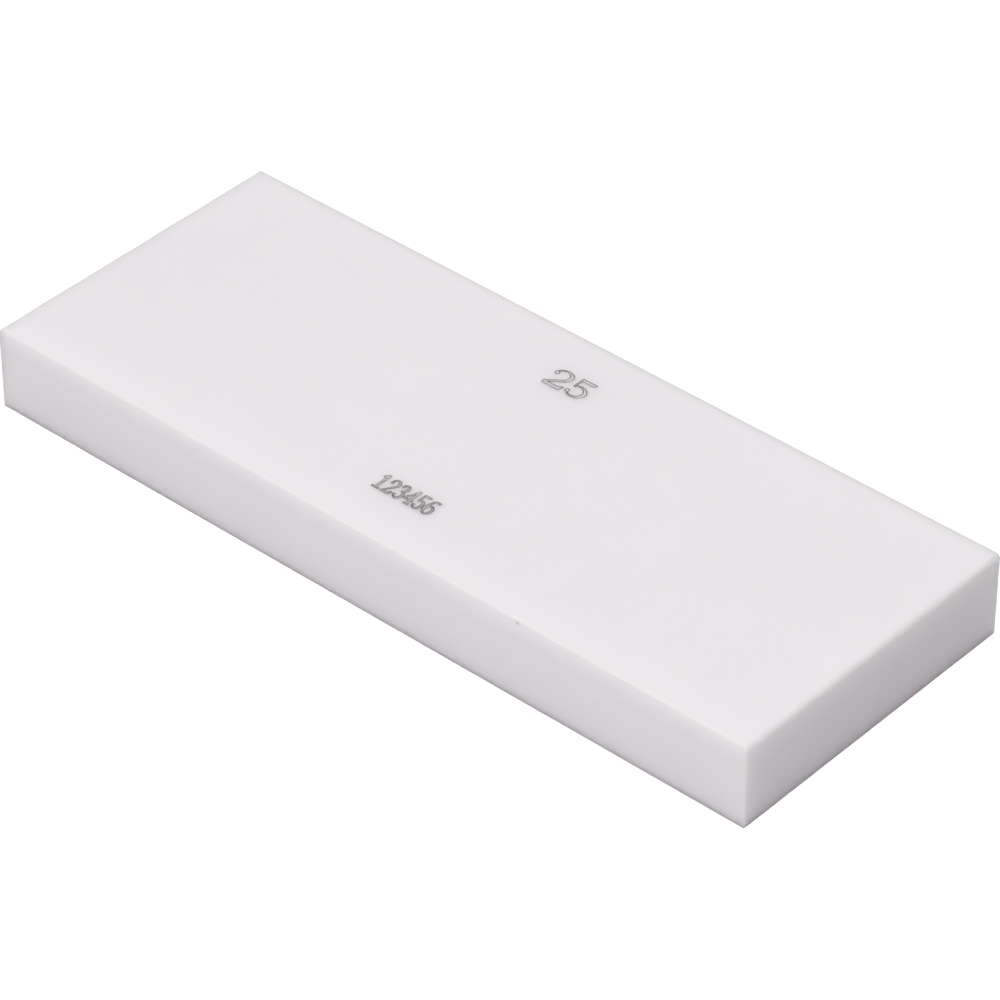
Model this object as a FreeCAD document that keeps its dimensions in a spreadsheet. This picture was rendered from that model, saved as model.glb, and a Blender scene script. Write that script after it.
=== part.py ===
import FreeCAD, Part
import itertools
import math
import os

import Sketcher

# A gymnastics chalk block: one pressed slab that stands on its largest face, with two number
# marks traced into its top face. A tracing tool followed the outline of each digit, so a mark is
# a set of fine closed grooves, and the scorched dark fill in them is a node of its own.
#
# Frame: origin at the centre of the underside, +X along the slab, +Y across it, +Z up.
# Millimetres.

V = FreeCAD.Vector
UP = V(0, 0, 1)

# The numbers are placeholders: a grade near the far long edge, a batch number near the near one.
GRADE_DIGITS = "25"
BATCH_DIGITS = "123456"

# Driving dimensions, kept in the document's spreadsheet.
SIZES = {
    # the slab
    "block_length": 250.0,
    "block_width": 97.2,
    "block_height": 25.0,
    # how far its edges are rubbed round
    "end_round": 1.5,  # top edge of both ends
    "foot_round": 0.5,  # bottom edge of both ends
    "side_round": 0.4,  # all round both long sides
    # the traced line
    "trace_width": 0.2,
    "trace_depth": 0.15,
    "trace_fill": 0.1,  # how much of the depth the dark fill takes up
    # grade mark: a digit's height and width, the gap between two, thick and thin strokes, place
    "grade_height": 7.8,
    "grade_digit": 6.2,
    "grade_gap": 0.52,
    "grade_thick": 1.1,
    "grade_thin": 0.45,
    "grade_edge_gap": 13.45,  # from the far long edge to the digits' tops
    "grade_shift": 1.0,  # of its middle from the slab's
    # batch mark
    "batch_height": 6.0,
    "batch_digit": 2.91,
    "batch_gap": 0.29,
    "batch_thick": 0.64,
    "batch_thin": 0.4,
    "batch_edge_gap": 15.5,  # from the near long edge to the digits' feet
    "batch_shift": 0.75,
}

# Share of an oval's shorter radius that its tightest arcs have: the oval is four tangent arcs.
OVAL_TIP = 0.72
# A knob at the end of a digit's thin stroke, as a share of the thick stroke.
KNOB = 0.56


# ---------------------------------------------------------------- flat shapes for the digits

def polygon(*points):
    """A flat face with straight edges, whichever way round its points are given."""
    corners = [V(x, y, 0) for x, y in points]
    area = sum(a.x * b.y - b.x * a.y for a, b in zip(corners, corners[1:] + corners[:1]))
    if area < 0:
        corners.reverse()
    return Part.Face(Part.makePolygon(corners + corners[:1]))


def bar(x0, y0, x1, y1):
    return polygon((x0, y0), (x1, y0), (x1, y1), (x0, y1))


def disc(x, y, radius):
    return Part.Face(Part.Wire(Part.makeCircle(radius, V(x, y, 0), UP)))


def oval(x, y, rx, ry):
    """An oval drawn with a compass: two tip arcs and two side arcs, each tangent to the next."""
    short, long = sorted((rx, ry))
    if long - short < 1e-3:
        return disc(x, y, rx)
    tip = OVAL_TIP * short
    side = (short**2 + (long - tip) ** 2 - tip**2) / (2 * (short - tip))
    lean = math.atan2(long - tip, side - short)
    join_x = short - side + side * math.cos(lean)
    join_y = side * math.sin(lean)

    def place(across, along):
        return V(x + across, y + along, 0) if ry > rx else V(x - along, y + across, 0)

    joins = [place(join_x * i, join_y * j) for i, j in ((1, -1), (1, 1), (-1, 1), (-1, -1))]
    middles = [place(short, 0), place(0, long), place(-short, 0), place(0, -long)]
    arcs = [Part.Arc(joins[k], middles[k], joins[(k + 1) % 4]).toShape() for k in range(4)]
    return Part.Face(Part.Wire(arcs))


def ring(x, y, rx, ry, left, right, cap):
    """An oval stroke: its wall is left and right thick at the sides, and cap at top and bottom."""
    inner = oval(x + (left - right) / 2, y, rx - (left + right) / 2, ry - cap)
    return oval(x, y, rx, ry).cut(inner)


def joined(*faces):
    """One face from several that overlap."""
    return faces[0].multiFuse(list(faces[1:])).removeSplitter().Faces[0]


def neck(y, foot_y, outer, inner):
    """The stroke of a two, from the right side of its bowl at height y down to its foot.
    Each side is (x at the bowl, arc radius, x at the foot): an arc, then its tangent."""
    edges, tops, feet = [], [], []
    for x, radius, foot_x in (outer, inner):
        centre, foot = V(x - radius, y, 0), V(foot_x, foot_y, 0)
        away = centre - foot
        lean = math.atan2(away.y, away.x) - math.asin(radius / away.Length)
        reach = math.sqrt(away.Length**2 - radius**2)
        touch = foot + V(reach * math.cos(lean), reach * math.sin(lean), 0)
        half = math.atan2(touch.y - centre.y, touch.x - centre.x) / 2
        middle = centre + V(radius * math.cos(half), radius * math.sin(half), 0)
        edges.append(Part.Arc(V(x, y, 0), middle, touch).toShape())
        edges.append(Part.LineSegment(touch, foot).toShape())
        tops.append(V(x, y, 0))
        feet.append(foot)
    edges += [Part.LineSegment(*tops).toShape(), Part.LineSegment(*feet).toShape()]
    face = Part.Face(Part.Wire(Part.__sortEdges__(edges)))
    return face if face.normalAt(0, 0).z > 0 else face.reversed()


# ---------------------------------------------------------------- the digits
# Each stands on y = 0 from x = 0. w and h are its width and height, and thick and thin its
# strokes. The bare factors are shares of w, h or a stroke: the drawing of the digit itself.

def one(w, h, thick, thin):
    left, flag = (w - thick) / 2, 0.12 * w
    stem = bar(left, 0, left + thick, h)
    foot = bar(flag, 0, w - flag, thin)
    top = polygon(
        (left + thick, h), (left, h), (flag, 0.84 * h), (flag, 0.84 * h - thin),
        (left, h - 2.4 * thin), (left + thick, h - thin),
    )
    return joined(stem, foot, top)


def two(w, h, thick, thin):
    rx, ry, edge, foot = 0.46 * w, 0.29 * h, 0.03 * w, 0.9 * thick
    y, right = h - ry, edge + 2 * rx
    bowl = ring(edge + rx, y, rx, ry, thin, thick, thin).common(bar(0, y, w, h)).Faces[0]
    stroke = neck(
        y, foot, (right, ry, 0.2 * w), (right - thick, ry - 0.35 * thick, edge)
    )
    base = polygon(
        (edge, 0), (0.9 * w, 0), (0.98 * w, 0.22 * h), (0.98 * w - thin, 0.22 * h),
        (0.76 * w, foot), (edge, foot),
    )
    return joined(bowl, stroke, base, disc(edge + KNOB * thick, y, KNOB * thick))


def three(w, h, thick, thin):
    upper = ring(0.48 * w, 0.745 * h, 0.41 * w, 0.255 * h, thin, thick, thin)
    lower = ring(0.5 * w, 0.285 * h, 0.47 * w, 0.285 * h, thin, thick, thin)
    mouth = bar(-w, 0.19 * h, 0.4 * w, 0.8 * h)
    bowls = upper.cut(mouth).Faces + lower.cut(mouth).Faces
    radius = KNOB * thick
    knobs = [disc(0.09 * w + radius, 0.8 * h, radius), disc(0.05 * w + radius, 0.19 * h, radius)]
    return joined(*bowls, *knobs)


def four(w, h, thick, thin):
    left, cross, foot = 0.6 * w, 0.26 * h, 0.16 * w
    slope = polygon(
        (left + 0.3 * thick, h), (left, h), (0, cross + thin), (0, cross),
        (1.3 * thin, cross), (left + 0.3 * thick, h - 2 * thin),
    )
    stem = bar(left, 0, left + thick, h)
    base = bar(left - foot, 0, left + thick + foot, thin)
    return joined(stem, slope, bar(0, cross, w, cross + thin), base)


def five(w, h, thick, thin):
    left, step = 0.16 * w, 0.5 * h
    bowl = ring(0.49 * w, 0.32 * h, 0.48 * w, 0.32 * h, thin, thick, thin)
    mouth = bar(-w, 0.19 * h, left + thin, step)
    shoulder = bar(-w, step, left, h)
    flag = polygon(
        (left, h), (left, h - 0.9 * thick), (0.84 * w, h - 0.9 * thick), (0.92 * w, h)
    )
    radius = KNOB * thick
    knob = disc(0.04 * w + radius, 0.19 * h, radius)
    return joined(*bowl.cut([mouth, shoulder]).Faces, bar(left, step, left + thin, h), flag, knob)


def six(w, h, thick, thin):
    low, rx, radius = 0.31 * h, 0.62 * w, KNOB * thick
    end = 0.9 * w - radius
    bowl = ring(w / 2, low, w / 2, low, thick, thick, thin).Faces[0]
    sweep = ring(rx, low, rx, h - low, thick, thin, thin).common(bar(0, low, end, h)).Faces
    sweep = [face for face in sweep if face.BoundBox.YMax > 0.9 * h]
    return joined(bowl, *sweep, disc(end, 0.98 * h - radius, radius))


DRAWN = {"1": one, "2": two, "3": three, "4": four, "5": five, "6": six}


def trace(digits, height, width, gap, thick, thin, line):
    """The grooves round each digit's outline, as flat faces: the text is centred on x = 0 and
    its digits stand on y = 0."""
    pitch = width + gap
    start = (gap - len(digits) * pitch) / 2
    faces = []
    for place, digit in enumerate(digits):
        body = DRAWN[digit](width, height, thick, thin)
        groove = body.makeOffset2D(line / 2).cut(body.makeOffset2D(-line / 2))
        groove.translate(V(start + place * pitch, 0, 0))
        faces += groove.Faces
    return faces


# ---------------------------------------------------------------- document

def make_sheet(doc):
    sheet = doc.addObject("Spreadsheet::Sheet", "Sizes")
    for row, (name, value) in enumerate(SIZES.items(), start=1):
        sheet.set(f"A{row}", name)
        sheet.set(f"B{row}", str(value))
        sheet.setAlias(f"B{row}", name)
    doc.recompute()
    return sheet


def origin_plane(body, role):
    return next(f for f in body.Origin.OriginFeatures if f.Role == role)


def new_sketch(body, name):
    sketch = body.newObject("Sketcher::SketchObject", name)
    sketch.AttachmentSupport = [(origin_plane(body, "XY_Plane"), "")]
    sketch.MapMode = "FlatFace"
    return sketch


def new_body(doc, label):
    body = doc.addObject("PartDesign::Body", label)
    body.Label = label
    body.AllowCompound = True
    return body


def rectangle_sketch(body, sheet):
    """A rectangle centred on the origin, its sides driven by the sheet."""
    sketch = new_sketch(body, "Outline")
    x, y = sheet.block_length / 2, sheet.block_width / 2
    corners = [V(-x, -y, 0), V(x, -y, 0), V(x, y, 0), V(-x, y, 0)]
    for k in range(4):
        sketch.addGeometry(Part.LineSegment(corners[k], corners[(k + 1) % 4]))
    start, end, origin = 1, 2, -1
    for k in range(4):
        sketch.addConstraint(Sketcher.Constraint("Coincident", k, end, (k + 1) % 4, start))
        sketch.addConstraint(Sketcher.Constraint("Vertical" if k % 2 else "Horizontal", k))
    sketch.addConstraint(Sketcher.Constraint("Symmetric", 0, start, 1, end, origin, start))
    for kind, line, size in (("DistanceX", 0, "block_length"), ("DistanceY", 1, "block_width")):
        length = getattr(sheet, size)
        index = sketch.addConstraint(Sketcher.Constraint(kind, line, start, line, end, length))
        sketch.renameConstraint(index, size)
        sketch.setExpression(f"Constraints.{size}", f"Sizes.{size}")
    return sketch


def round_edges(body, base, groups):
    """One fillet for groups of base's edges that share a radius, which the sheet drives. Each
    group is a size's name and the test that its edges' boxes pass."""
    fillet = body.newObject("PartDesign::Fillet", "_and_".join(groups))
    edges = [f"Edge{k}" for k, edge in enumerate(base.Shape.Edges, start=1)
             if any(chosen(edge.BoundBox) for chosen in groups.values())]
    fillet.Base = (base, edges)
    fillet.setExpression("Radius", f"Sizes.{next(iter(groups))}")
    body.Document.recompute()
    return fillet


def flat_geometry(faces):
    """The edges of flat faces as sketch geometry: lines, whole circles and arcs."""
    geometry = []
    for edge in (e for face in faces for e in face.Edges):
        first, last = edge.Vertexes[0].Point, edge.Vertexes[-1].Point
        if isinstance(edge.Curve, Part.Line):
            geometry.append(Part.LineSegment(first, last))
        elif edge.isClosed():
            geometry.append(Part.Circle(edge.Curve.Center, UP, edge.Curve.Radius))
        else:
            middle = edge.valueAt((edge.FirstParameter + edge.LastParameter) / 2)
            turn = (middle - first).cross(last - middle).z
            ends = (first, last) if turn > 0 else (last, first)
            geometry.append(arc_of_circle(edge.Curve.Center, edge.Curve.Radius, *ends))
    return geometry


def arc_of_circle(centre, radius, start, end):
    angles = [math.atan2(p.y - centre.y, p.x - centre.x) for p in (start, end)]
    return Part.ArcOfCircle(Part.Circle(centre, UP, radius), *angles)


def trace_sketch(body, name, faces, x, y, z):
    """The mark's grooves as a sketch parallel to the underside, placed by expressions."""
    sketch = new_sketch(body, name)
    sketch.addGeometry(flat_geometry(faces))
    for axis, place in zip("xyz", (x, y, z)):
        sketch.setExpression(f"AttachmentOffset.Base.{axis}", place)
    return sketch


def cut_mark(body, mark, faces, x, y):
    """The mark's grooves, cut down into the slab's top face."""
    before = body.Tip.Shape.Volume
    pocket = body.newObject("PartDesign::Pocket", f"{mark}_pocket")
    pocket.Profile = trace_sketch(body, f"{mark}_lines", faces, x, y, "Sizes.block_height")
    pocket.setExpression("Length", "Sizes.trace_depth")
    body.Document.recompute()
    wanted = sum(face.Area for face in faces) * body.Document.Sizes.trace_depth
    check_volume(f"{mark}_pocket", before - pocket.Shape.Volume, wanted)


def fill_mark(doc, mark, faces, x, y):
    """The dark fill on the floor of the mark's grooves, one solid to each groove."""
    body = new_body(doc, mark)
    pad = body.newObject("PartDesign::Pad", f"{mark}_pad")
    floor = "Sizes.block_height - Sizes.trace_depth"
    pad.Profile = trace_sketch(body, f"{mark}_fill_lines", faces, x, y, floor)
    pad.setExpression("Length", "Sizes.trace_fill")
    doc.recompute()
    check_volume(mark, body.Shape.Volume, sum(face.Area for face in faces) * doc.Sizes.trace_fill)
    return body


def check_volume(name, found, wanted):
    if abs(found - wanted) > 0.01 * wanted:
        raise RuntimeError(f"{name}: {found:.3f} mm3, and it should be {wanted:.3f} mm3")


def make_slab(doc, sheet):
    body = new_body(doc, "chalk_block")
    pad = body.newObject("PartDesign::Pad", "Slab")
    pad.Profile = rectangle_sketch(body, sheet)
    pad.setExpression("Length", "Sizes.block_height")
    doc.recompute()
    end_x, side_y, top = sheet.block_length / 2, sheet.block_width / 2, sheet.block_height

    def on(value, *places):
        return all(abs(abs(place) - value) < 1e-4 for place in places)

    edges = {
        "end_round": lambda box: on(end_x, box.XMin, box.XMax) and on(top, box.ZMin, box.ZMax),
        "foot_round": lambda box: on(end_x, box.XMin, box.XMax) and on(0, box.ZMin, box.ZMax),
        "side_round": lambda box: on(side_y, box.YMin, box.YMax) and box.YMin * box.YMax > 0,
    }

    def radius(size):
        return getattr(sheet, size)

    # the largest radius is rolled first, so that a smaller one can run round its end, and edges
    # with the same radius are rolled together
    rounded = pad
    for _, same in itertools.groupby(sorted(edges, key=radius, reverse=True), key=radius):
        rounded = round_edges(body, rounded, {size: edges[size] for size in same})
    return body


def mark_faces(sheet, mark, digits):
    sizes = [getattr(sheet, f"{mark}_{part}")
             for part in ("height", "digit", "gap", "thick", "thin")]
    return trace(digits, *sizes, sheet.trace_width)


def build():
    doc = FreeCAD.newDocument("chalk_block")
    sheet = make_sheet(doc)
    slab = make_slab(doc, sheet)
    marks = {
        "grade": (
            GRADE_DIGITS,
            "Sizes.block_width / 2 - Sizes.grade_edge_gap - Sizes.grade_height",
        ),
        "batch": (BATCH_DIGITS, "Sizes.batch_edge_gap - Sizes.block_width / 2"),
    }
    nodes = [slab]
    for mark, (digits, y) in marks.items():
        faces = mark_faces(sheet, mark, digits)
        cut_mark(slab, mark, faces, f"Sizes.{mark}_shift", y)
        nodes.append(fill_mark(doc, f"{mark}_mark", faces, f"Sizes.{mark}_shift", y))
    doc.recompute()
    return doc, nodes


def check(doc, nodes):
    """Stops if an object failed to recompute, or a node is not a sound solid."""
    for thing in doc.Objects:
        if {"Invalid", "Error"} & set(thing.State):
            raise RuntimeError(f"{thing.Label} failed: {thing.State}")
    for node in nodes:
        shape = node.Shape
        if shape.isNull() or not shape.isValid() or not shape.Solids:
            raise RuntimeError(f"{node.Label} has no valid shape")


def main():
    doc, nodes = build()
    check(doc, nodes)
    os.makedirs("parts", exist_ok=True)
    for node in nodes:
        node.Shape.exportStep(os.path.join("parts", f"{node.Label}.step"))
        print(node.Label, len(node.Shape.Solids), "solids", round(node.Shape.Volume, 2), "mm3")


main()
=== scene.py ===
import math
import random

import bmesh
import bpy
from mathutils import Euler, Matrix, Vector


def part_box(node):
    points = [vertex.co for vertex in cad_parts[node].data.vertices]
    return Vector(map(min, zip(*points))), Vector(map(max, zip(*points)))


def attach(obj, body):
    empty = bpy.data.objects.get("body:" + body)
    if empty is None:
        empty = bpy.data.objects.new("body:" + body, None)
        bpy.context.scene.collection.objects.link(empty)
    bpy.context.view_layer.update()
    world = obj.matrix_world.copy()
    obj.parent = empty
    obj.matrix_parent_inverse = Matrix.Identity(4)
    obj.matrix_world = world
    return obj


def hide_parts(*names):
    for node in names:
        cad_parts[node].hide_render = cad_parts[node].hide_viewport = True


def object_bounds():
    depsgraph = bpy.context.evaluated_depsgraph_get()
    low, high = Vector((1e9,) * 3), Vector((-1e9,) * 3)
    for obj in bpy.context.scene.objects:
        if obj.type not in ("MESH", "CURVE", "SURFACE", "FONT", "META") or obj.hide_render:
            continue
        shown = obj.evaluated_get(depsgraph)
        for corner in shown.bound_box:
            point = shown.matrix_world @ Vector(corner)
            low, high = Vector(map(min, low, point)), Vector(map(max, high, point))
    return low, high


# A gymnastics chalk block: a pressed slab of magnesium carbonate, rubbed round along its edges,
# with two number marks traced into its top face and scorched dark. Metres, in the part's frame:
# X along the slab, Y across it, Z up from the face that it stands on.

MM = 0.001

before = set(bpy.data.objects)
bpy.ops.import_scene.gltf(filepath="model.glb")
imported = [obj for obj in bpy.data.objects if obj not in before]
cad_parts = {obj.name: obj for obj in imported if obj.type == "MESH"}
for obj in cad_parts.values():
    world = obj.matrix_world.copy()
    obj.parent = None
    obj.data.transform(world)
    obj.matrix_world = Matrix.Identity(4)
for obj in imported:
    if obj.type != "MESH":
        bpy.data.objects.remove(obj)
cad_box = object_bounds()

# How far the edges are rubbed round, as in the part: all round both long sides, and the top and
# the bottom edge of both ends.
SIDE_ROUND = 0.4 * MM
END_ROUND = 1.5 * MM
FOOT_ROUND = 0.5 * MM
# Handling rubs an edge unevenly. Each pair is the share by which the radius varies and the
# length over which it does: first the slow wear, then the small crumbs on top of it.
WEAR = 0.1
WEAR_LENGTH = 9 * MM
CRUMB = 0.06
CRUMB_LENGTH = 2.6 * MM

# A small pit in a long side, where a crumb has broken away: its place from the middle of that
# side's top edge, its half sizes, and how it is turned, in radians.
PIT_PLACE = Vector((53.7, 0.1, -1.1)) * MM
PIT_SIZE = Vector((0.42, 0.3, 0.34)) * MM
PIT_TURN = Euler((0.3, 0.5, 0.4))

# A groove's cutter is drawn this far out through the top face, and corners closer together than
# the second length are one corner.
CUTTER_REACH = 1 * MM
SAME_CORNER = 0.001 * MM

# Mesh cells on each edge's curve, and across the flat of each face.
CURVE_CELLS = 6
FLAT_CELLS = (160, 60, 16)


def add(tree, kind, inputs=None, **settings):
    """Adds a node. inputs gives each socket a value, or the output socket that feeds it."""
    node = tree.nodes.new(kind)
    for name, value in settings.items():
        setattr(node, name, value)
    for socket, value in (inputs or {}).items():
        if isinstance(value, bpy.types.NodeSocket):
            tree.links.new(value, node.inputs[socket])
        else:
            node.inputs[socket].default_value = value
    return node


def colour(code):
    """An sRGB hex colour as linear red, green, blue and alpha."""
    parts = [int(code[i : i + 2], 16) / 255 for i in (1, 3, 5)]
    linear = [p / 12.92 if p <= 0.04045 else ((p + 0.055) / 1.055) ** 2.4 for p in parts]
    return (*linear, 1.0)


# ---------------------------------------------------------------- materials

def new_material(name):
    material = bpy.data.materials.new(name)
    material.use_nodes = True
    tree = material.node_tree
    tree.nodes.clear()
    return material, tree


def pressed_chalk():
    """Magnesium carbonate powder pressed dry into a mould: dead matt and bright white, with light
    that spreads some millimetres under the surface, a cloudy tone, and the powder's own grain."""
    material, tree = new_material("pressed_magnesium_carbonate")
    place = add(tree, "ShaderNodeTexCoord").outputs["Object"]
    # cloudiness from uneven pressing, in patches of about 45 mm
    cloud = add(tree, "ShaderNodeTexNoise", {
        "Vector": place, "Scale": 1 / (45 * MM), "Detail": 3.0, "Roughness": 0.5,
    })
    tone = add(tree, "ShaderNodeMix", {
        "Factor": cloud.outputs["Fac"], "A": colour("#f4eff3"), "B": colour("#f0ebef"),
    }, data_type="RGBA")
    # powder grains: really about 0.1 mm, drawn 0.5 mm so that they show
    grain = add(tree, "ShaderNodeTexNoise", {
        "Vector": place, "Scale": 1 / (0.5 * MM), "Detail": 4.0, "Roughness": 0.62,
    })
    # slow unevenness of the pressed face, in swells of about 6 mm
    swell = add(tree, "ShaderNodeTexNoise", {
        "Vector": place, "Scale": 1 / (6 * MM), "Detail": 2.0, "Roughness": 0.4,
    })
    fine = add(tree, "ShaderNodeBump", {
        "Height": grain.outputs["Fac"], "Strength": 0.25, "Distance": 0.06 * MM,
    })
    bump = add(tree, "ShaderNodeBump", {
        "Height": swell.outputs["Fac"], "Strength": 0.2, "Distance": 0.05 * MM,
        "Normal": fine.outputs["Normal"],
    })
    dryness = add(tree, "ShaderNodeMapRange", {
        "Value": grain.outputs["Fac"], "To Min": 0.88, "To Max": 0.98,
    })
    shader = add(tree, "ShaderNodeBsdfPrincipled", {
        "Base Color": tone.outputs["Result"],
        "Roughness": dryness.outputs["Result"],
        "Normal": bump.outputs["Normal"],
        "IOR": 1.5,
        "Specular IOR Level": 0.2,
        "Subsurface Weight": 1.0,
        "Subsurface Radius": (1.0, 1.1, 1.0),
        "Subsurface Scale": 7 * MM,
    })
    add(tree, "ShaderNodeOutputMaterial", {"Surface": shader.outputs["BSDF"]})
    return material


def scorched_chalk():
    """The same chalk burnt grey-brown by the tracing beam: matt, darker where the beam dwelt and
    paler between its pulses."""
    material, tree = new_material("beam_scorched_chalk")
    place = add(tree, "ShaderNodeTexCoord").outputs["Object"]
    # pulses of the beam: really about 0.1 mm apart, drawn 0.4 mm so that they show
    pulse = add(tree, "ShaderNodeTexNoise", {
        "Vector": place, "Scale": 1 / (0.4 * MM), "Detail": 2.0, "Roughness": 0.6,
    })
    tone = add(tree, "ShaderNodeMix", {
        "Factor": pulse.outputs["Fac"], "A": colour("#3a3537"), "B": colour("#5d5759"),
    }, data_type="RGBA")
    shader = add(tree, "ShaderNodeBsdfPrincipled", {
        "Base Color": tone.outputs["Result"],
        "Roughness": 0.95,
        "IOR": 1.5,
        "Specular IOR Level": 0.15,
    })
    add(tree, "ShaderNodeOutputMaterial", {"Surface": shader.outputs["BSDF"]})
    return material


# ---------------------------------------------------------------- the slab

def slab_tree(material):
    """Geometry nodes for a slab whose edges are rubbed round. A cube's grid is laid out again:
    its outer cells make each edge's curve, and the rest cross the flats evenly. Seen from a long
    side, the slab's outline turns each corner on a ring of the end's radius, and a tube of the
    side's radius runs round that outline."""
    tree = bpy.data.node_groups.new("rubbed_slab", "GeometryNodeTree")
    sizes = ("Length", "Width", "Height", "Side Round", "End Round", "Foot Round",
             "Wear", "Wear Length", "Crumb", "Crumb Length")
    for name in sizes:
        tree.interface.new_socket(name, in_out="INPUT", socket_type="NodeSocketFloat")
    tree.interface.new_socket("Geometry", in_out="OUTPUT", socket_type="NodeSocketGeometry")
    given = add(tree, "NodeGroupInput").outputs

    cells = [flat + 2 * CURVE_CELLS for flat in FLAT_CELLS]
    cube = add(tree, "GeometryNodeMeshCube", {
        "Size": (2.0, 2.0, 2.0),
        "Vertices X": cells[0] + 1, "Vertices Y": cells[1] + 1, "Vertices Z": cells[2] + 1,
    })
    grid = add(tree, "GeometryNodeInputPosition").outputs["Position"]
    size = add(tree, "ShaderNodeCombineXYZ", {
        "X": given["Length"], "Y": given["Width"], "Z": given["Height"],
    })
    half = add(tree, "ShaderNodeVectorMath", {
        0: size.outputs["Vector"], "Scale": 0.5,
    }, operation="SCALE").outputs["Vector"]

    # each point's place on the grid, as cells from the nearest side along each axis
    reach = add(tree, "ShaderNodeVectorMath", {0: grid}, operation="ABSOLUTE")
    side = add(tree, "ShaderNodeVectorMath", {0: grid}, operation="SIGN").outputs["Vector"]
    inward = add(tree, "ShaderNodeVectorMath", {
        0: (1.0, 1.0, 1.0), 1: reach.outputs["Vector"],
    }, operation="SUBTRACT")
    steps = add(tree, "ShaderNodeVectorMath", {
        0: inward.outputs["Vector"], 1: tuple(n / 2 for n in cells),
    }, operation="MULTIPLY").outputs["Vector"]
    # how far round the curve: 1 at the side, 0 where the flat begins
    along_curve = add(tree, "ShaderNodeVectorMath", {
        0: steps, 1: (-1 / CURVE_CELLS,) * 3, 2: (1.0, 1.0, 1.0),
    }, operation="MULTIPLY_ADD")
    on_curve = add(tree, "ShaderNodeVectorMath", {
        0: along_curve.outputs["Vector"], 1: (0.0, 0.0, 0.0),
    }, operation="MAXIMUM")
    turn = add(tree, "ShaderNodeVectorMath", {
        0: on_curve.outputs["Vector"], "Scale": math.pi / 4,
    }, operation="SCALE")
    lean = add(tree, "ShaderNodeVectorMath", {0: turn.outputs["Vector"]}, operation="TANGENT")
    out = add(tree, "ShaderNodeVectorMath", {
        0: lean.outputs["Vector"], 1: side,
    }, operation="MULTIPLY").outputs["Vector"]
    # how far across the flat: 1 where it begins, 0 at the middle
    past_curve = add(tree, "ShaderNodeVectorMath", {
        0: steps, 1: (CURVE_CELLS,) * 3,
    }, operation="SUBTRACT")
    on_flat = add(tree, "ShaderNodeVectorMath", {
        0: past_curve.outputs["Vector"], 1: (0.0, 0.0, 0.0),
    }, operation="MAXIMUM")
    flat = add(tree, "ShaderNodeVectorMath", {
        0: on_flat.outputs["Vector"], 1: tuple(-2 / n for n in FLAT_CELLS), 2: (1.0, 1.0, 1.0),
    }, operation="MULTIPLY_ADD")
    across = add(tree, "ShaderNodeVectorMath", {
        0: flat.outputs["Vector"], 1: side,
    }, operation="MULTIPLY").outputs["Vector"]

    # the outline's radius at this height: one at the top of the ends, another at their foot
    height = add(tree, "ShaderNodeSeparateXYZ", {"Vector": grid}).outputs["Z"]
    near_top = add(tree, "ShaderNodeMapRange", {
        "Value": height, "From Min": -0.5, "From Max": 0.5,
    }, interpolation_type="SMOOTHSTEP")
    ring = add(tree, "ShaderNodeMix", {
        "Factor": near_top.outputs["Result"], "A": given["Foot Round"], "B": given["End Round"],
    }).outputs["Result"]
    # the same point on a slab of one plain radius, to place the wear by
    plain_inner = add(tree, "ShaderNodeVectorMath", {
        0: half, 1: given["Side Round"],
    }, operation="SUBTRACT")
    plain_across = add(tree, "ShaderNodeVectorMath", {
        0: plain_inner.outputs["Vector"], 1: across,
    }, operation="MULTIPLY")
    plain = add(tree, "ShaderNodeVectorMath", {
        0: out, 1: given["Side Round"], 2: plain_across.outputs["Vector"],
    }, operation="MULTIPLY_ADD")
    # uneven rubbing: a slow change along the edge, and small crumbs on top of it
    rub = 1.0
    for amount, length in (("Wear", "Wear Length"), ("Crumb", "Crumb Length")):
        spread = add(tree, "ShaderNodeMath", {0: 1.0, 1: given[length]}, operation="DIVIDE")
        noise = add(tree, "ShaderNodeTexNoise", {
            "Vector": plain.outputs["Vector"], "Scale": spread.outputs["Value"], "Detail": 1.0,
        })
        swing = add(tree, "ShaderNodeMapRange", {
            "Value": noise.outputs["Fac"], "From Min": 0.25, "From Max": 0.75,
            "To Min": -1.0, "To Max": 1.0,
        })
        change = add(tree, "ShaderNodeMath", {
            0: swing.outputs["Result"], 1: given[amount], 2: 1.0,
        }, operation="MULTIPLY_ADD")
        rub = add(tree, "ShaderNodeMath", {
            0: rub, 1: change.outputs["Value"],
        }, operation="MULTIPLY").outputs["Value"]
    ring = add(tree, "ShaderNodeMath", {0: ring, 1: rub}, operation="MULTIPLY").outputs["Value"]
    tube = add(tree, "ShaderNodeMath", {
        0: given["Side Round"], 1: rub,
    }, operation="MULTIPLY").outputs["Value"]

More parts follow.
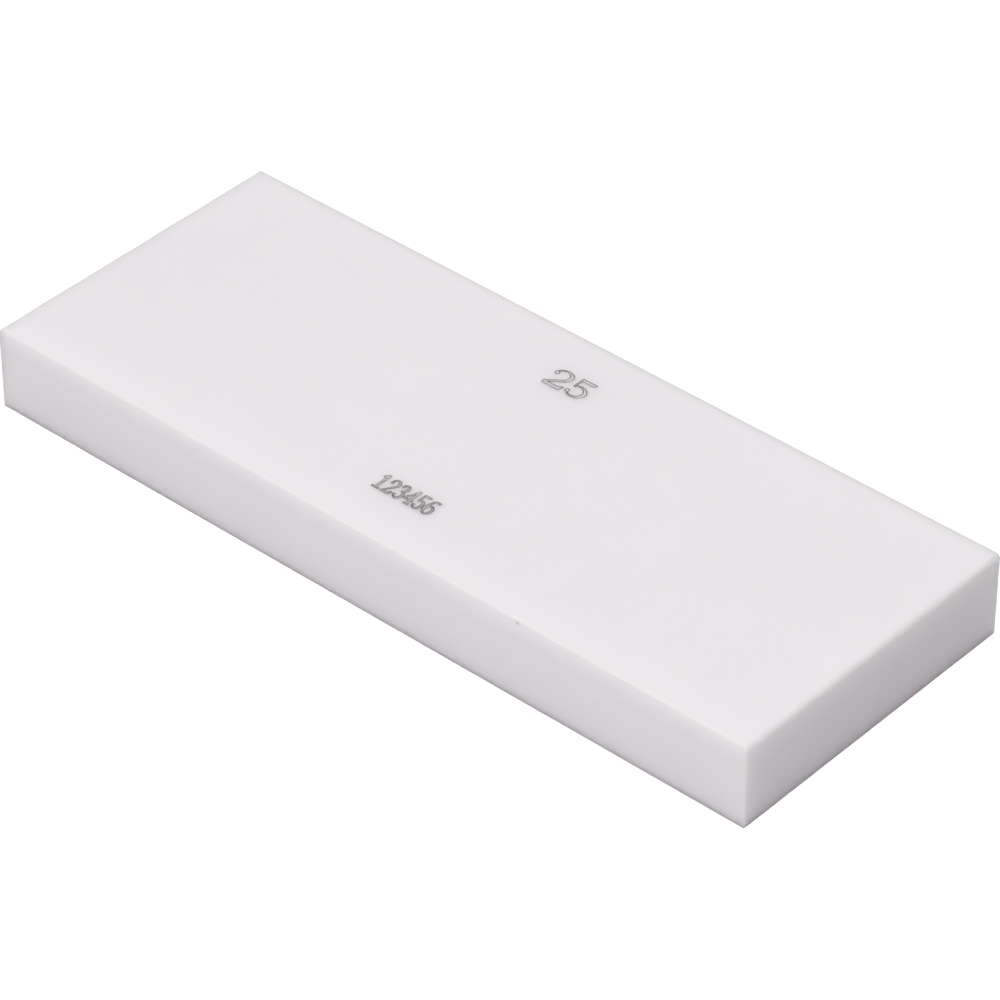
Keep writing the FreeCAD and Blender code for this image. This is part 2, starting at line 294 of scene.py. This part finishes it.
    # from an inner box, out along the ring, then out along the tube
    inset = add(tree, "ShaderNodeCombineXYZ", {"X": ring, "Y": tube, "Z": ring})
    inner = add(tree, "ShaderNodeVectorMath", {
        0: half, 1: inset.outputs["Vector"],
    }, operation="SUBTRACT")
    inner_point = add(tree, "ShaderNodeVectorMath", {
        0: inner.outputs["Vector"], 1: across,
    }, operation="MULTIPLY")
    in_outline = add(tree, "ShaderNodeVectorMath", {
        0: out, 1: (1.0, 0.0, 1.0),
    }, operation="MULTIPLY")
    along_ring = add(tree, "ShaderNodeVectorMath", {
        0: in_outline.outputs["Vector"],
    }, operation="NORMALIZE")
    ring_reach = add(tree, "ShaderNodeMath", {0: ring, 1: tube}, operation="SUBTRACT")
    on_ring = add(tree, "ShaderNodeVectorMath", {
        0: along_ring.outputs["Vector"], 1: ring_reach.outputs["Value"],
        2: inner_point.outputs["Vector"],
    }, operation="MULTIPLY_ADD")
    outward = add(tree, "ShaderNodeVectorMath", {0: out}, operation="NORMALIZE")
    point = add(tree, "ShaderNodeVectorMath", {
        0: outward.outputs["Vector"], 1: tube, 2: on_ring.outputs["Vector"],
    }, operation="MULTIPLY_ADD")
    up = add(tree, "ShaderNodeVectorMath", {0: half, 1: (0.0, 0.0, 1.0)}, operation="MULTIPLY")
    standing = add(tree, "ShaderNodeVectorMath", {
        0: point.outputs["Vector"], 1: up.outputs["Vector"],
    }, operation="ADD")

    shape = add(tree, "GeometryNodeSetPosition", {
        "Geometry": cube.outputs["Mesh"], "Position": standing.outputs["Vector"],
    })
    smooth = add(tree, "GeometryNodeSetShadeSmooth", {"Geometry": shape.outputs["Geometry"]})
    real = add(tree, "GeometryNodeRealizeInstances", {"Geometry": smooth.outputs["Geometry"]})
    finished = add(tree, "GeometryNodeSetMaterial", {
        "Geometry": real.outputs["Geometry"], "Material": material,
    })
    add(tree, "NodeGroupOutput", {"Geometry": finished.outputs["Geometry"]})
    return tree


def link(name, mesh):
    piece = bpy.data.objects.new(name, mesh)
    bpy.context.scene.collection.objects.link(piece)
    return piece


def settle(piece):
    """Turns what a piece's modifiers make into its own plain mesh, and removes them."""
    bpy.context.view_layer.update()
    evaluated = piece.evaluated_get(bpy.context.evaluated_depsgraph_get())
    mesh = bpy.data.meshes.new_from_object(evaluated)
    piece.modifiers.clear()
    piece.data = mesh
    mesh.name = piece.name
    return piece


def make_slab(material):
    low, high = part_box("chalk_block")
    given = {
        "Length": high.x - low.x, "Width": high.y - low.y, "Height": high.z - low.z,
        "Side Round": SIDE_ROUND, "End Round": END_ROUND, "Foot Round": FOOT_ROUND,
        "Wear": WEAR, "Wear Length": WEAR_LENGTH, "Crumb": CRUMB, "Crumb Length": CRUMB_LENGTH,
    }
    slab = link("pressed_slab", bpy.data.meshes.new("pressed_slab"))
    nodes = slab.modifiers.new("rubbed_slab", "NODES")
    nodes.node_group = slab_tree(material)
    for socket in nodes.node_group.interface.items_tree:
        if socket.in_out == "INPUT":
            nodes[socket.identifier] = given[socket.name]
    return settle(slab)


def groove_cutter(node):
    """A closed copy of a mark's node, drawn up through the top face."""
    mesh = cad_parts[node].data.copy()
    work = bmesh.new()
    work.from_mesh(mesh)
    bmesh.ops.remove_doubles(work, verts=work.verts, dist=SAME_CORNER)
    low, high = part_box(node)
    for vertex in work.verts:
        if vertex.co.z > (low.z + high.z) / 2:
            vertex.co.z += CUTTER_REACH
    work.to_mesh(mesh)
    work.free()
    return link(f"{node}_cutter", mesh)


def pit_cutter(at, size, turn):
    """A rough lump, for a small pit where a crumb has broken away."""
    work = bmesh.new()
    bmesh.ops.create_icosphere(work, subdivisions=2, radius=1.0)
    chance = random.Random(7)
    for vertex in work.verts:
        vertex.co *= chance.uniform(0.82, 1.12)
        vertex.co = Vector(a * b for a, b in zip(vertex.co, size))
        vertex.co.rotate(turn)
        vertex.co += at
    mesh = bpy.data.meshes.new("pit_cutter")
    work.to_mesh(mesh)
    work.free()
    return link("pit_cutter", mesh)


def carve(slab, cutters):
    for cutter in cutters:
        cut = slab.modifiers.new(cutter.name, "BOOLEAN")
        cut.operation, cut.solver, cut.object = "DIFFERENCE", "EXACT", cutter
    settle(slab)
    for cutter in cutters:
        bpy.data.objects.remove(cutter)
    # grooves keep their hard rims, and the rubbed edges stay soft against broad flats
    slab.data.shade_smooth()
    slab.data.set_sharp_from_angle(angle=math.radians(40))
    weighted = slab.modifiers.new("broad_flats", "WEIGHTED_NORMAL")
    weighted.keep_sharp = True
    return settle(slab)


chalk = pressed_chalk()
scorch = scorched_chalk()

block_low, block_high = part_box("chalk_block")
front_edge = Vector((0, block_low.y, block_high.z))
pit = pit_cutter(front_edge + PIT_PLACE, PIT_SIZE, PIT_TURN)
slab = carve(make_slab(chalk), [groove_cutter("grade_mark"), groove_cutter("batch_mark"), pit])
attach(slab, "root")
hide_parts("chalk_block")

for mark in ("grade_mark", "batch_mark"):
    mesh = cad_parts[mark].data
    mesh.materials.clear()
    mesh.materials.append(scorch)


# ---------------------------------------------------------------- floor, lights and camera

def plain_material(name, kind, inputs):
    material, tree = new_material(name)
    shader = add(tree, kind, inputs)
    add(tree, "ShaderNodeOutputMaterial", {"Surface": shader.outputs[0]})
    return material


def sheet_of(name, side, z, material):
    work = bmesh.new()
    bmesh.ops.create_grid(work, x_segments=1, y_segments=1, size=side / 2)
    mesh = bpy.data.meshes.new(name)
    work.to_mesh(mesh)
    work.free()
    mesh.materials.append(material)
    piece = link(name, mesh)
    piece.location.z = z
    return piece


FLOOR_SIDE = 8.0
FLOOR_DROP = 0.5 * MM
CARD_DROP = 0.1 * MM

# The floor is lit from within, so it stays an even white; a plain grey card on it, out of the
# camera's sight, gives the block the soft bounce and the dark foot of something that stands.
white = plain_material("lit_white_floor", "ShaderNodeEmission",
                       {"Color": colour("#ffffff"), "Strength": 1.05})
card = plain_material("bounce_card", "ShaderNodeBsdfDiffuse", {"Color": colour("#c4c2c4")})
floor = sheet_of("floor", FLOOR_SIDE, -FLOOR_DROP, white)
bounce = sheet_of("bounce_card", FLOOR_SIDE, -CARD_DROP, card)
for ray in ("diffuse", "glossy", "transmission", "volume_scatter", "shadow"):
    setattr(floor, f"visible_{ray}", False)
bounce.visible_camera = False

world = bpy.data.worlds.new("dark_studio")
world.use_nodes = True
world.node_tree.nodes.clear()
sky = add(world.node_tree, "ShaderNodeBackground", {"Strength": 0.0})
add(world.node_tree, "ShaderNodeOutputWorld", {"Surface": sky.outputs["Background"]})
bpy.context.scene.world = world

middle = (cad_box[0] + cad_box[1]) / 2

# Each softbox's azimuth and elevation in degrees, distance and side in metres, and watts.
SOFTBOXES = {
    "overhead": (0, 80, 1.6, 1.6, 11.8),
    "long_side": (-15, 25, 1.6, 1.0, 8.8),
    "corner_front": (41, 20, 1.6, 1.0, 5.25),
    "end_side": (90, 25, 1.6, 1.0, 0.5),
    "end_high": (90, 55, 1.6, 1.0, 5.4),
    "back_low": (180, 12, 1.6, 1.0, 3.9),
    "back_high": (-150, 45, 1.6, 1.0, 7.2),
}


def direction(azimuth, elevation):
    """From the block towards a viewer: azimuth 0 is in front, and 90 is at the +X end."""
    a, e = math.radians(azimuth), math.radians(elevation)
    return Vector((math.sin(a) * math.cos(e), -math.cos(a) * math.cos(e), math.sin(e)))


def softbox(name, azimuth, elevation, away, size, watts):
    """A square light that looks at the block's middle."""
    back = direction(azimuth, elevation)
    data = bpy.data.lights.new(name, "AREA")
    data.shape, data.size, data.energy = "SQUARE", size, watts
    lamp = bpy.data.objects.new(name, data)
    bpy.context.scene.collection.objects.link(lamp)
    lamp.location = middle + back * away
    lamp.rotation_mode = "QUATERNION"
    lamp.rotation_quaternion = (-back).to_track_quat("-Z", "Y")
    return lamp


for name, (azimuth, elevation, away, size, watts) in SOFTBOXES.items():
    softbox(name, azimuth, elevation, away, size, watts)

# The camera's azimuth and elevation in degrees, its distance in metres, what it looks at, as an
# offset from the block's middle, and its lens in millimetres.
CAMERA_AZIMUTH, CAMERA_ELEVATION = 41.622, 37.986
CAMERA_DISTANCE = 1.289
CAMERA_AIM = Vector((8.90 * MM, -4.48 * MM, 0))
CAMERA_LENS = 184.95

camera = bpy.data.cameras.new("camera")
camera.lens = CAMERA_LENS
camera.sensor_width = 36.0
camera.clip_start, camera.clip_end = 0.05, 50.0
eye = bpy.data.objects.new("camera", camera)
bpy.context.scene.collection.objects.link(eye)
bpy.context.scene.camera = eye
back = direction(CAMERA_AZIMUTH, CAMERA_ELEVATION)
eye.location = middle + CAMERA_AIM + back * CAMERA_DISTANCE
eye.rotation_mode = "QUATERNION"
eye.rotation_quaternion = (-back).to_track_quat("-Z", "Y")

bpy.context.scene.view_settings.view_transform = "Standard"
